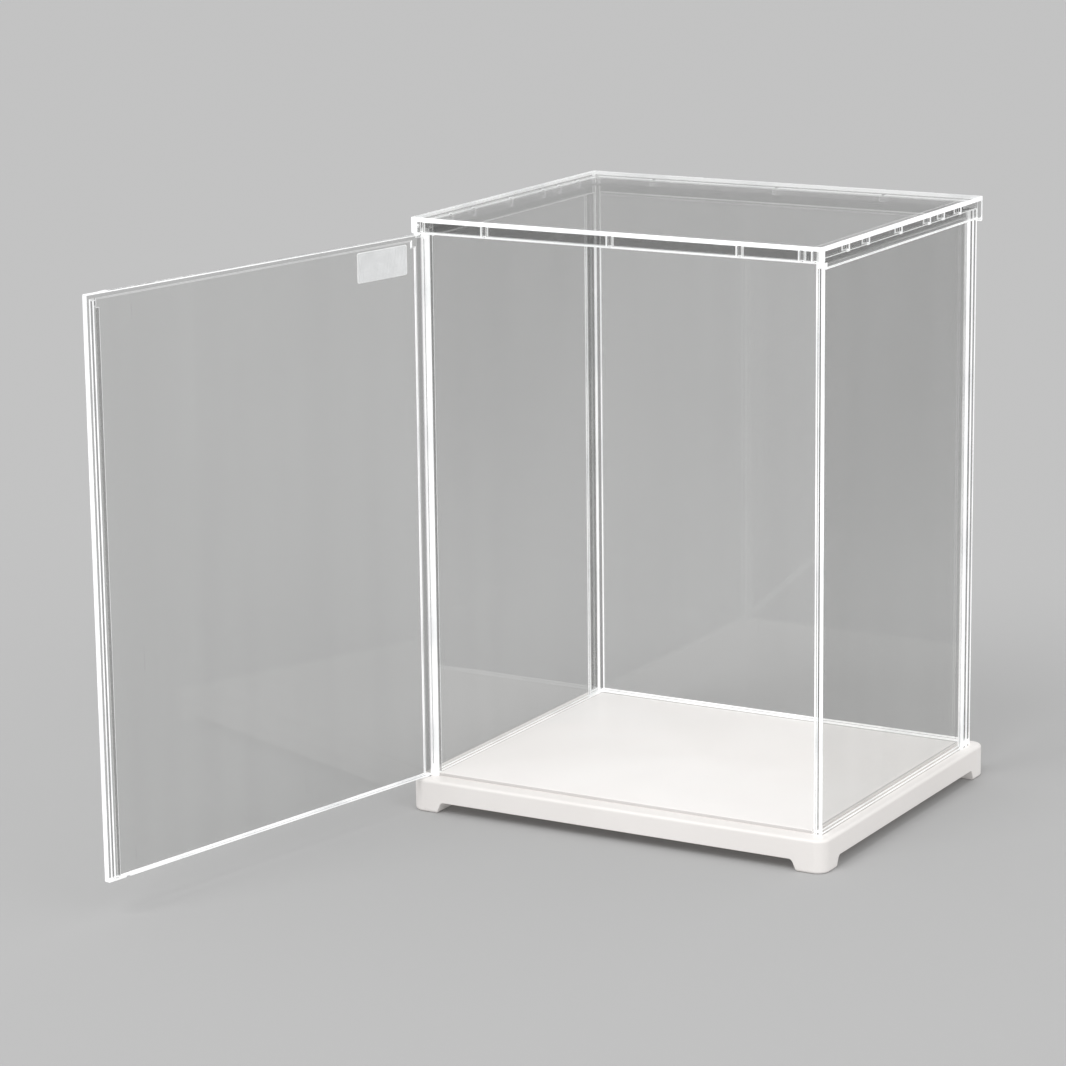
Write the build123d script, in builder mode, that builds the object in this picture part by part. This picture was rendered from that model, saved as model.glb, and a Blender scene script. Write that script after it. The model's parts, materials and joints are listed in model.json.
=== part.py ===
"""Clear display box with a swinging front door.

A white moulded base on four corner feet carries a raised display floor, two clear side
panels and a clear back panel. A clear lid with a skirt drops over the panels. The clear
front door turns on two moulded pins, one in the lid's corner block and one in the base.

The origin is the centre of the display floor's top face. X runs from the hinge side to the
free side, Y from the front to the back, and Z up. The door is drawn open, as it rests.
"""

import os
from math import cos, radians, sin

from build123d import *

# Driving dimensions, in millimetres
TOTAL_HEIGHT = 273.0
LID_WIDTH = 202.0
LID_DEPTH = 167.0
OPEN_ANGLE = 101.0  # how far the door stands open

# Base
BASE_OUTSET = 3.4  # how far the base stands out past the lid, on each side
BASE_HEIGHT = 15.2
BASE_CORNER_RADIUS = 6.0
BASE_EDGE_RADIUS = 1.4
BASE_WALL = 2.4
FOOT_HEIGHT = 5.2
FOOT_WIDTH = 13.4  # along X at the ground
FOOT_DEPTH = 13.0  # along Y at the ground
FOOT_SLOPE = 2.4  # how much wider a foot is where it meets the skirt
FOOT_THROAT_RADIUS = 2.0
FOOT_EDGE_RADIUS = 1.3
RING_THICKNESS = 5.0  # of the moulding under the panel groove
DECK_THICKNESS = 2.2  # of the moulding under the display floor
GROOVE_DEPTH = 3.0  # how deep the panels stand in the base
STIFFENER = 1.6
POCKETS_X, POCKETS_Y = 4, 3
RING_WIDTH = 16.8

# Display floor
FLOOR_RISE = 1.5  # of its top above the base's rim
FLOOR_MARGIN = 1.9  # gap from the panels' inner faces
FLOOR_SETBACK = 8.7  # from the base's front face
FLOOR_EDGE_RADIUS = 0.4
FLOOR_JAMB_GAP = 0.5  # round the side panels' jambs, at the front corners
PEG_RADIUS, PEG_HOLE_RADIUS = 1.5, 1.6
PEG_SPACING_X, PEG_SPACING_Y = 136.0, 96.0

# Clear panels
PANEL = 2.2
PANEL_INSET = 2.0  # of the panels' outer faces from the lid's outer faces
FIT_GAP = 0.2
JAMB_SETBACK = 5.7  # of the side panels' front edges from the lid's front face
JAMB_WIDTH = 4.1
JAMB_DEPTH = 3.2
LEFT_GROOVE_AT, LEFT_GROOVE_WIDTH = 0.95, 1.1  # from the panel's outer face
RIGHT_GROOVE_AT, RIGHT_GROOVE_WIDTH = 1.75, 1.6
JAMB_GROOVE_DEPTH = 1.4
LEFT_GROOVE_RISE = 4.5  # of its lower end above the base's rim
CHANNEL_OUTER_WALL, CHANNEL_OUTER_DEPTH = 1.0, 10.6
CHANNEL_INNER_WALL, CHANNEL_INNER_DEPTH = 1.4, 6.2
CHANNEL_SLOT = 1.3

# Lid
LID_SHEET = 2.0
LID_CORNER_RADIUS = 1.2
LID_EDGE_RADIUS = 0.4
SKIRT = 1.8
FRONT_SKIRT_HEIGHT = 7.4
SIDE_SKIRT_HEIGHT = 10.0
BACK_SKIRT_HEIGHT = 11.5
SIDE_SKIRT_START = 3.5  # from the lid's front face, where the side skirt gets taller
INNER_WALL = 1.5
INNER_WALL_HEIGHT = 9.5
STOP_HEIGHT = 5.4  # from the lid's top to the panels' top edges
STOP_THICKNESS = 2.0
FRONT_RIBS = (0.18, 0.49, 0.80, 0.945, 0.975)  # shares of the lid's width
SIDE_STOPS = (0.17, 0.29, 0.49, 0.67, 0.76, 0.87)  # shares of the lid's depth
BACK_STOPS = (0.17, 0.49, 0.76)
HEADER_SETBACK = 3.6  # of the wall behind the front skirt, from the lid's front face
HINGE_BLOCK_WIDTH = 5.0

# Door
DOOR = 3.0
HINGE_INSET_X = 2.4
HINGE_INSET_Y = 1.7
DOOR_SIDE_GAP = 0.6  # from the free edge to the lid's side face
DOOR_END_GAP = 0.5  # above and below the door
PIN_RADIUS, PIN_HOLE_RADIUS = 1.1, 1.15
PIN_LENGTH, PIN_HOLE_DEPTH = 3.9, 4.0
PIN_CHAMFER = 0.3
COLLAR_RADIUS, COLLAR_HEIGHT = 1.45, 0.4
RIB_HEIGHT = 2.0  # of the rib along the free side of the inner face
RIB_INSET, RIB_WIDTH = 1.4, 3.5
RECESS_DEPTH = 0.4  # of the thinner middle of the door
RECESS_TOP_INSET, RECESS_BOTTOM_INSET = 2.2, 1.7
RECESS_HINGE_INSET = 3.2  # from the pin's axis
STEP_LENGTH = 3.0  # of the steps at the top end of the rib and of the recess
RIB_STEP_WIDTH, RECESS_STEP_WIDTH = 1.8, 2.2
NUB_LENGTH, NUB_HEIGHT, NUB_WIDTH = 3.0, 0.2, 1.2
NUB_FROM_EDGE = 10.5
NOTCH_LENGTH, NOTCH_HEIGHT, NOTCH_FROM_EDGE = 2.0, 0.5, 11.0
DOOR_EDGE_RADIUS = 0.35

# Nameplate, left blank
PLATE_WIDTH, PLATE_HEIGHT, PLATE_THICKNESS = 32.0, 13.5, 0.6
PLATE_CORNER_RADIUS = 1.0
PLATE_FROM_HINGE = 5.0
PLATE_FROM_TOP = 4.0

# Levels
rim_z = -FLOOR_RISE
ground_z = rim_z - BASE_HEIGHT
top_z = ground_z + TOTAL_HEIGHT
panel_bottom_z = rim_z - GROOVE_DEPTH
panel_top_z = top_z - STOP_HEIGHT
ring_bottom_z = rim_z - RING_THICKNESS
deck_bottom_z = rim_z - DECK_THICKNESS
door_bottom_z = rim_z + DOOR_END_GAP
door_top_z = top_z - FRONT_SKIRT_HEIGHT - DOOR_END_GAP

# Plan positions
base_width = LID_WIDTH + 2 * BASE_OUTSET
base_depth = LID_DEPTH + 2 * BASE_OUTSET
lid_side_x = LID_WIDTH / 2
lid_front_y = -LID_DEPTH / 2
lid_back_y = LID_DEPTH / 2
panel_outer_x = lid_side_x - PANEL_INSET
panel_inner_x = panel_outer_x - PANEL
back_outer_y = lid_back_y - PANEL_INSET
back_inner_y = back_outer_y - PANEL
jamb_front_y = lid_front_y + JAMB_SETBACK
jamb_back_y = jamb_front_y + JAMB_DEPTH
jamb_inner_x = panel_outer_x - JAMB_WIDTH
channel_outer_y = back_outer_y - CHANNEL_OUTER_DEPTH
channel_inner_y = back_outer_y - CHANNEL_INNER_DEPTH
channel_slot_x = panel_outer_x - CHANNEL_OUTER_WALL
channel_wall_x = channel_slot_x - CHANNEL_SLOT
channel_inner_x = channel_wall_x - CHANNEL_INNER_WALL
hinge_x = -lid_side_x + HINGE_INSET_X
hinge_y = lid_front_y + HINGE_INSET_Y
door_width = LID_WIDTH - HINGE_INSET_X - DOOR_SIDE_GAP
door_height = door_top_z - door_bottom_z
door_middle_z = (door_top_z + door_bottom_z) / 2


def rectangle_between(x_low, x_high, y_low, y_high, mode=Mode.ADD):
    """Draws a rectangle from its sides instead of from its centre."""
    with Locations(((x_low + x_high) / 2, (y_low + y_high) / 2)):
        Rectangle(x_high - x_low, y_high - y_low, mode=mode)


# White moulded base
with BuildPart() as base:
    with BuildSketch(Plane.XY.offset(ground_z)):
        RectangleRounded(base_width, base_depth, BASE_CORNER_RADIUS)
    extrude(amount=BASE_HEIGHT)
    fillet(base.faces().sort_by(Axis.Z)[-1].edges(), BASE_EDGE_RADIUS)

    # The hollow under it, clear of a solid block over each foot
    with BuildSketch(Plane.XY.offset(ground_z)):
        Rectangle(base_width - 2 * BASE_WALL, base_depth - 2 * BASE_WALL)
        with GridLocations(base_width - FOOT_WIDTH - FOOT_SLOPE, base_depth - FOOT_DEPTH - FOOT_SLOPE, 2, 2):
            Rectangle(FOOT_WIDTH + FOOT_SLOPE, FOOT_DEPTH + FOOT_SLOPE, mode=Mode.SUBTRACT)
    extrude(amount=ring_bottom_z - ground_z, mode=Mode.SUBTRACT)

    # Shallow pockets under the deck, with stiffeners left between them
    pocket_pitch_x = (base_width - 2 * RING_WIDTH + STIFFENER) / POCKETS_X
    pocket_pitch_y = (base_depth - 2 * RING_WIDTH + STIFFENER) / POCKETS_Y
    with BuildSketch(Plane.XY.offset(ring_bottom_z)):
        with GridLocations(pocket_pitch_x, pocket_pitch_y, POCKETS_X, POCKETS_Y):
            Rectangle(pocket_pitch_x - STIFFENER, pocket_pitch_y - STIFFENER)
    extrude(amount=deck_bottom_z - ring_bottom_z, mode=Mode.SUBTRACT)

    # The gaps between the feet, on all four sides
    with BuildSketch(Plane.XZ.offset(-base_depth)):
        with BuildLine():
            Polyline(
                (-base_width / 2 + FOOT_WIDTH, ground_z),
                (-base_width / 2 + FOOT_WIDTH + FOOT_SLOPE, ground_z + FOOT_HEIGHT),
                (base_width / 2 - FOOT_WIDTH - FOOT_SLOPE, ground_z + FOOT_HEIGHT),
                (base_width / 2 - FOOT_WIDTH, ground_z),
                close=True,
            )
        make_face()
        fillet(vertices().group_by(Axis.Y)[-1], FOOT_THROAT_RADIUS)
    extrude(amount=2 * base_depth, mode=Mode.SUBTRACT)
    with BuildSketch(Plane.YZ.offset(-base_width)):
        with BuildLine():
            Polyline(
                (-base_depth / 2 + FOOT_DEPTH, ground_z),
                (-base_depth / 2 + FOOT_DEPTH + FOOT_SLOPE, ground_z + FOOT_HEIGHT),
                (base_depth / 2 - FOOT_DEPTH - FOOT_SLOPE, ground_z + FOOT_HEIGHT),
                (base_depth / 2 - FOOT_DEPTH, ground_z),
                close=True,
            )
        make_face()
        fillet(vertices().group_by(Axis.Y)[-1], FOOT_THROAT_RADIUS)
    extrude(amount=2 * base_width, mode=Mode.SUBTRACT)
    fillet(base.edges().group_by(Axis.Z)[0], FOOT_EDGE_RADIUS)

    # The groove that the panels stand in
    with BuildSketch(Plane.XY.offset(rim_z)):
        for side in (-1, 1):
            groove = sorted((side * (panel_outer_x + FIT_GAP), side * (panel_inner_x - FIT_GAP)))
            rectangle_between(*groove, jamb_front_y - FIT_GAP, back_outer_y + FIT_GAP)
            jamb = sorted((side * (panel_outer_x + FIT_GAP), side * (jamb_inner_x - FIT_GAP)))
            rectangle_between(*jamb, jamb_front_y - FIT_GAP, jamb_back_y + FIT_GAP)
            channel = sorted((side * (panel_outer_x + FIT_GAP), side * (channel_inner_x - FIT_GAP)))
            rectangle_between(*channel, channel_inner_y - FIT_GAP, back_outer_y + FIT_GAP)
        rectangle_between(-panel_outer_x, panel_outer_x, back_inner_y - FIT_GAP, back_outer_y + FIT_GAP)
    extrude(amount=-GROOVE_DEPTH, mode=Mode.SUBTRACT)

    # The door's lower pivot and the holes for the display floor's pegs
    with BuildSketch(Plane.XY.offset(rim_z)):
        with Locations((hinge_x, hinge_y)):
            Circle(PIN_HOLE_RADIUS)
    extrude(amount=-PIN_HOLE_DEPTH, mode=Mode.SUBTRACT)
    with BuildSketch(Plane.XY.offset(rim_z)):
        with GridLocations(PEG_SPACING_X, PEG_SPACING_Y, 2, 2):
            Circle(PEG_HOLE_RADIUS)
    extrude(amount=-RING_THICKNESS, mode=Mode.SUBTRACT)
base.part.label = "base"


# White display floor, a plate that clips into the base
floor_half_width = panel_inner_x - FLOOR_MARGIN
floor_front_y = -base_depth / 2 + FLOOR_SETBACK
floor_back_y = back_inner_y - FLOOR_MARGIN
with BuildPart() as display_floor:
    with BuildSketch(Plane.XY.offset(rim_z)):
        rectangle_between(-floor_half_width, floor_half_width, floor_front_y, floor_back_y)
        for side in (-1, 1):
            corner = sorted((side * (jamb_inner_x - FLOOR_JAMB_GAP), side * floor_half_width))
            rectangle_between(*corner, floor_front_y, jamb_back_y + FLOOR_JAMB_GAP, mode=Mode.SUBTRACT)
    extrude(amount=FLOOR_RISE)
    fillet(display_floor.faces().sort_by(Axis.Z)[-1].edges(), FLOOR_EDGE_RADIUS)
    with BuildSketch(Plane.XY.offset(rim_z)):
        with GridLocations(PEG_SPACING_X, PEG_SPACING_Y, 2, 2):
            Circle(PEG_RADIUS)
    extrude(amount=-DECK_THICKNESS)
display_floor.part.label = "display_floor"


# Clear side panels: a plain sheet with a jamb along the front edge and a tongue along the back
with BuildPart() as side_sheet:
    with BuildSketch(Plane.XY.offset(panel_bottom_z)):
        rectangle_between(-panel_outer_x, -panel_inner_x, jamb_front_y, back_inner_y)
        rectangle_between(-panel_outer_x, -jamb_inner_x, jamb_front_y, jamb_back_y)
        rectangle_between(
            -panel_outer_x,
            -channel_slot_x + FIT_GAP / 2,
            channel_outer_y - FIT_GAP / 2,
            back_inner_y,
            mode=Mode.SUBTRACT,
        )
    extrude(amount=panel_top_z - panel_bottom_z)

# The groove down each jamb starts level with the bottom of the lid's side skirt
groove_top_z = top_z - SIDE_SKIRT_HEIGHT
groove_back_y = jamb_front_y + JAMB_GROOVE_DEPTH
with BuildPart() as left_panel:
    add(side_sheet.part)
    with BuildSketch(Plane.XY.offset(groove_top_z)):
        left_groove_x = -panel_outer_x + LEFT_GROOVE_AT
        rectangle_between(left_groove_x, left_groove_x + LEFT_GROOVE_WIDTH, jamb_front_y, groove_back_y)
    extrude(amount=rim_z + LEFT_GROOVE_RISE - groove_top_z, mode=Mode.SUBTRACT)
left_panel.part.label = "left_panel"

with BuildPart() as right_panel:
    mirror(side_sheet.part, about=Plane.YZ)
    with BuildSketch(Plane.XY.offset(groove_top_z)):
        right_groove_x = panel_outer_x - RIGHT_GROOVE_AT
        rectangle_between(right_groove_x - RIGHT_GROOVE_WIDTH, right_groove_x, jamb_front_y, groove_back_y)
    extrude(amount=panel_bottom_z - groove_top_z, mode=Mode.SUBTRACT)
right_panel.part.label = "right_panel"


# Clear back panel: a sheet with a channel down each side that takes the side panel's tongue
with BuildPart() as back_panel:
    with BuildSketch(Plane.XY.offset(panel_bottom_z)):
        rectangle_between(-panel_outer_x, panel_outer_x, back_inner_y, back_outer_y)
        for side in (-1, 1):
            outer = sorted((side * panel_outer_x, side * channel_slot_x))
            rectangle_between(*outer, channel_outer_y, back_inner_y)
            inner = sorted((side * channel_wall_x, side * channel_inner_x))
            rectangle_between(*inner, channel_inner_y, back_inner_y)
    extrude(amount=panel_top_z - panel_bottom_z)
back_panel.part.label = "back_panel"


# Clear lid: a sheet with a skirt, a second wall inside it and stops between the two
with BuildPart() as lid:
    with BuildSketch(Plane.XY.offset(top_z)):
        RectangleRounded(LID_WIDTH, LID_DEPTH, LID_CORNER_RADIUS)
    extrude(amount=-LID_SHEET)
    fillet(lid.faces().sort_by(Axis.Z)[-1].edges(), LID_EDGE_RADIUS)
    sheet_z = top_z - LID_SHEET

    # The skirt is lowest at the back, and shortest at the front, where the door passes
    with BuildSketch(Plane.XY.offset(sheet_z)):
        RectangleRounded(LID_WIDTH, LID_DEPTH, LID_CORNER_RADIUS)
        Rectangle(LID_WIDTH - 2 * SKIRT, LID_DEPTH - 2 * SKIRT, mode=Mode.SUBTRACT)
    extrude(amount=LID_SHEET - FRONT_SKIRT_HEIGHT)
    deeper_parts = (
        (lid_front_y + SIDE_SKIRT_START, SIDE_SKIRT_HEIGHT),
        (lid_back_y - SKIRT, BACK_SKIRT_HEIGHT),
    )
    for start_y, skirt_height in deeper_parts:
        with BuildSketch(Plane.XY.offset(sheet_z)):
            RectangleRounded(LID_WIDTH, LID_DEPTH, LID_CORNER_RADIUS)
            Rectangle(LID_WIDTH - 2 * SKIRT, LID_DEPTH - 2 * SKIRT, mode=Mode.SUBTRACT)
            rectangle_between(-LID_WIDTH, LID_WIDTH, -LID_DEPTH, start_y, mode=Mode.SUBTRACT)
        extrude(amount=LID_SHEET - skirt_height)

    # The inner walls along the sides and the back hold the panels' top edges
    inner_wall_x = panel_inner_x - FIT_GAP - INNER_WALL
    inner_wall_y = back_inner_y - FIT_GAP - INNER_WALL
    with BuildSketch(Plane.XY.offset(sheet_z)):
        for side in (-1, 1):
            wall = sorted((side * inner_wall_x, side * (inner_wall_x + INNER_WALL)))
            rectangle_between(*wall, jamb_back_y + 2 * FIT_GAP, channel_inner_y - 2 * FIT_GAP)
        back_wall_half = channel_inner_x - 2 * FIT_GAP
        rectangle_between(-back_wall_half, back_wall_half, inner_wall_y, inner_wall_y + INNER_WALL)
    extrude(amount=LID_SHEET - INNER_WALL_HEIGHT)

    # The header behind the front skirt, and the solid corner that takes the door's upper pin
    header_y = lid_front_y + HEADER_SETBACK
    with BuildSketch(Plane.XY.offset(sheet_z)):
        rectangle_between(-lid_side_x + SKIRT, lid_side_x - SKIRT, header_y, header_y + INNER_WALL)
        rectangle_between(
            -lid_side_x + SKIRT, -lid_side_x + HINGE_BLOCK_WIDTH, lid_front_y + SKIRT, header_y + INNER_WALL
        )
    extrude(amount=LID_SHEET - FRONT_SKIRT_HEIGHT)

    # Ribs between the front skirt and the header, as deep as they are
    with BuildSketch(Plane.XY.offset(sheet_z)):
        for share in FRONT_RIBS:
            rib_x = -lid_side_x + share * LID_WIDTH
            rectangle_between(
                rib_x - STOP_THICKNESS / 2, rib_x + STOP_THICKNESS / 2, lid_front_y + SKIRT, header_y
            )
    extrude(amount=LID_SHEET - FRONT_SKIRT_HEIGHT)

    # Stops across the other channels, which rest on the panels
    with BuildSketch(Plane.XY.offset(sheet_z)):
        for share in SIDE_STOPS:
            stop_y = lid_front_y + share * LID_DEPTH
            for side in (-1, 1):
                channel = sorted((side * (lid_side_x - SKIRT), side * (inner_wall_x + INNER_WALL)))
                rectangle_between(*channel, stop_y - STOP_THICKNESS / 2, stop_y + STOP_THICKNESS / 2)
        for share in BACK_STOPS:
            stop_x = -lid_side_x + share * LID_WIDTH
            rectangle_between(
                stop_x - STOP_THICKNESS / 2,
                stop_x + STOP_THICKNESS / 2,
                inner_wall_y + INNER_WALL,
                lid_back_y - SKIRT,
            )
    extrude(amount=LID_SHEET - STOP_HEIGHT)

    # The door's upper pivot
    with BuildSketch(Plane.XY.offset(top_z - FRONT_SKIRT_HEIGHT)):
        with Locations((hinge_x, hinge_y)):
            Circle(PIN_HOLE_RADIUS)
    extrude(amount=PIN_HOLE_DEPTH, mode=Mode.SUBTRACT)
lid.part.label = "lid"


# Clear door, drawn about its pins and turned to where it rests
door_along = (cos(radians(-OPEN_ANGLE)), sin(radians(-OPEN_ANGLE)), 0)
door_inward = (-door_along[1], door_along[0], 0)
door_plan = Plane(origin=(hinge_x, hinge_y, 0), x_dir=door_along, z_dir=(0, 0, 1))
door_centre = Vector(hinge_x, hinge_y, door_middle_z) + Vector(*door_along) * (door_width / 2)
inner_face = Plane(origin=door_centre, x_dir=Vector(*door_along) * -1, z_dir=door_inward).offset(DOOR / 2)
outer_face = Plane(origin=door_centre, x_dir=door_along, z_dir=Vector(*door_inward) * -1).offset(DOOR / 2)

with BuildPart() as door_panel:
    with BuildSketch(door_plan.offset(door_bottom_z)):
        Circle(DOOR / 2)
        rectangle_between(0, door_width, -DOOR / 2, DOOR / 2)
    extrude(amount=door_height)
    free_edges = door_panel.edges().filter_by(Axis.Z).sort_by_distance(door_plan.origin)[-2:]
    fillet(free_edges, DOOR_EDGE_RADIUS)

    # The slightly thinner middle, and the rib along its free side, each stepped at its top end
    rib_x = -door_width / 2 + RIB_INSET
    recess_hinge_x = door_width / 2 - RECESS_HINGE_INSET
    recess_bottom_y = -door_height / 2 + RECESS_BOTTOM_INSET
    recess_top_y = door_height / 2 - RECESS_TOP_INSET
    step_y = recess_top_y - STEP_LENGTH
    with BuildSketch(inner_face):
        rectangle_between(rib_x + RIB_WIDTH, recess_hinge_x, recess_bottom_y, recess_top_y)
        rectangle_between(
            recess_hinge_x - RECESS_STEP_WIDTH, recess_hinge_x, step_y, recess_top_y, mode=Mode.SUBTRACT
        )
    extrude(amount=-RECESS_DEPTH, mode=Mode.SUBTRACT)
    with BuildSketch(inner_face):
        rectangle_between(rib_x, rib_x + RIB_WIDTH, recess_bottom_y, recess_top_y)
        rectangle_between(
            rib_x + RIB_STEP_WIDTH, rib_x + RIB_WIDTH, step_y, recess_top_y, mode=Mode.SUBTRACT
        )
    extrude(amount=RIB_HEIGHT)

    # The catch nub on the top edge, and the notch in the bottom edge that a fingernail finds
    with BuildSketch(door_plan.offset(door_top_z)):
        with Locations((door_width - NUB_FROM_EDGE, 0)):
            Rectangle(NUB_LENGTH, NUB_WIDTH)
    extrude(amount=NUB_HEIGHT)
    with BuildSketch(door_plan.offset(door_bottom_z)):
        with Locations((door_width - NOTCH_FROM_EDGE, 0)):
            Rectangle(NOTCH_LENGTH, 2 * DOOR)
    extrude(amount=NOTCH_HEIGHT, mode=Mode.SUBTRACT)

    # The pins, and the collar that the door turns on
    with BuildSketch(door_plan.offset(door_top_z)):
        Circle(PIN_RADIUS)
    extrude(amount=PIN_LENGTH)
    with BuildSketch(door_plan.offset(door_bottom_z)):
        Circle(PIN_RADIUS)
    extrude(amount=-PIN_LENGTH)
    with BuildSketch(door_plan.offset(door_bottom_z)):
        Circle(COLLAR_RADIUS)
    extrude(amount=-COLLAR_HEIGHT)
    pin_tips = [door_panel.faces().sort_by(Axis.Z)[end].edges() for end in (0, -1)]
    chamfer(pin_tips[0] + pin_tips[1], PIN_CHAMFER)
door_panel.part.label = "door_panel"


# Blank nameplate on the door's outer face, near the top of the hinge side
with BuildPart() as door_nameplate:
    with BuildSketch(outer_face):
        plate_x = -door_width / 2 + PLATE_FROM_HINGE + PLATE_WIDTH / 2
        plate_y = door_height / 2 - PLATE_FROM_TOP - PLATE_HEIGHT / 2
        with Locations((plate_x, plate_y)):
            RectangleRounded(PLATE_WIDTH, PLATE_HEIGHT, PLATE_CORNER_RADIUS)
    extrude(amount=PLATE_THICKNESS)
door_nameplate.part.label = "door_nameplate"


pieces = (base, display_floor, left_panel, right_panel, back_panel, lid, door_panel, door_nameplate)
os.makedirs("parts", exist_ok=True)
for piece in pieces:
    export_step(piece.part, f"parts/{piece.part.label}.step")
print(f"hinge axis at x {hinge_x:.2f}, y {hinge_y:.2f}; top at z {top_z:.2f}, ground at z {ground_z:.2f}")
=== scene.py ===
import json
import logging
import math
from dataclasses import dataclass
from enum import Enum
from typing import Any, Optional, Union

import bpy
from mathutils import Matrix, Vector


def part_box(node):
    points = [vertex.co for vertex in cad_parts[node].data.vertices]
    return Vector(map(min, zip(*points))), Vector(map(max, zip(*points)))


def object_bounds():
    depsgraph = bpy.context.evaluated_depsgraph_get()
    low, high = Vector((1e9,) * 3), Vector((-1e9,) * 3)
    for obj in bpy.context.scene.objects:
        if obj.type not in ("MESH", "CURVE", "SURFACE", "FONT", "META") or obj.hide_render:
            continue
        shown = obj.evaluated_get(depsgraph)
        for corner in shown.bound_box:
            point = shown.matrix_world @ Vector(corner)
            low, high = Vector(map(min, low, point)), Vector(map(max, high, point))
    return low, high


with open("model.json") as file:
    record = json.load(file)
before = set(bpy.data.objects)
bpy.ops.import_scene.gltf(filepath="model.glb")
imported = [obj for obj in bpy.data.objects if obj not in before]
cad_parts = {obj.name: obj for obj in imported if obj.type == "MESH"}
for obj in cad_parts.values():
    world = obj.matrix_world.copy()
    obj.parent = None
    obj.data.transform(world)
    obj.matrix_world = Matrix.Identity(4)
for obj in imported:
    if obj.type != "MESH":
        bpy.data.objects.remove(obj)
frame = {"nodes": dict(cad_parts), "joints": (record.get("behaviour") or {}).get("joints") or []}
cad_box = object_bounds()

LOG = logging.getLogger("display_box")
MM = 0.001
SLACK = 0.1 * MM  # so that a face right at a limit counts as inside it
ALIKE = 0.9  # the cosine from which two directions count as the same
HALFWAY = 0.7  # the cosine that tells a sheet's faces from its sides
DOT_CORE = 0.4  # the share of a dot's reach that has its full strength
FORWARD = (0.0, -1.0, 0.0)
WHITE_LIGHT = (1.0, 1.0, 1.0)
GROUND_Z = cad_box[0].z


class Slot(Enum):
    """The record's material slots."""

    WHITE = "white_plastic"
    CLEAR = "clear_plastic"
    FROSTED = "frosted_plate"


class Blend(Enum):
    """How a step from one level to another is shaped."""

    SMOOTH = "SMOOTHSTEP"
    STRAIGHT = "LINEAR"


Operand = Union["Signal", float, tuple[float, ...]]


class Signal:
    """A shader value that ordinary arithmetic works on."""

    def __init__(self, graph: "Graph", socket: bpy.types.NodeSocket) -> None:
        """Holds the socket and the graph that it is in.

        Args:
            graph: The graph that new nodes go into.
            socket: The output that this value comes from.
        """
        self.graph = graph
        self.socket = socket

    @property
    def is_vector(self) -> bool:
        """True for a vector or a colour."""
        return self.socket.type in {"VECTOR", "RGBA"}

    def _with(self, operation: str, first: Operand, second: Operand) -> "Signal":
        """Puts a maths node behind two values.

        Args:
            operation: The node's operation.
            first: The first value.
            second: The second value.

        Returns:
            The result, a vector where either value is one.
        """
        vector = any(
            isinstance(value, tuple) or (isinstance(value, Signal) and value.is_vector)
            for value in (first, second)
        )
        kind = "ShaderNodeVectorMath" if vector else "ShaderNodeMath"
        return self.graph.node(kind, {0: first, 1: second}, operation=operation)

    def __add__(self, other: Operand) -> "Signal":
        """Adds a value."""
        return self._with("ADD", self, other)

    def __sub__(self, other: Operand) -> "Signal":
        """Takes a value away."""
        return self._with("SUBTRACT", self, other)

    def __rsub__(self, other: Operand) -> "Signal":
        """Is taken away from a value."""
        return self._with("SUBTRACT", other, self)

    def __mul__(self, other: Operand) -> "Signal":
        """Multiplies by a value."""
        return self._with("MULTIPLY", self, other)

    def __pow__(self, other: float) -> "Signal":
        """Raises to a power."""
        return self._with("POWER", self, other)

    def __gt__(self, other: float) -> "Signal":
        """One where it is above a value, and nought elsewhere."""
        return self._with("GREATER_THAN", self, other)

    def __lt__(self, other: float) -> "Signal":
        """One where it is below a value, and nought elsewhere."""
        return self._with("LESS_THAN", self, other)

    def __abs__(self) -> "Signal":
        """Drops the sign."""
        return self._with("ABSOLUTE", self, 0.0)

    def largest(self, other: Operand) -> "Signal":
        """The larger of the two."""
        return self._with("MAXIMUM", self, other)

    def step(
        self, low: float, high: float, to: tuple[float, float] = (0.0, 1.0), blend: Blend = Blend.SMOOTH
    ) -> "Signal":
        """Turns a range of values into another one.

        Args:
            low: The value that gives the first result.
            high: The value that gives the second result.
            to: The two results.
            blend: How it goes from one to the other.

        Returns:
            The value in its new range.
        """
        inputs = {"Value": self, "From Min": low, "From Max": high, "To Min": to[0], "To Max": to[1]}
        return self.graph.node("ShaderNodeMapRange", inputs, interpolation_type=blend.value)

    def dot(self, direction: tuple[float, float, float]) -> "Signal":
        """Its length along a direction."""
        inputs = {0: self, 1: direction}
        return self.graph.node("ShaderNodeVectorMath", inputs, "Value", operation="DOT_PRODUCT")

    def axis(self, name: str) -> "Signal":
        """One of its X, Y and Z."""
        return self.graph.node("ShaderNodeSeparateXYZ", {"Vector": self}, name)


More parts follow.
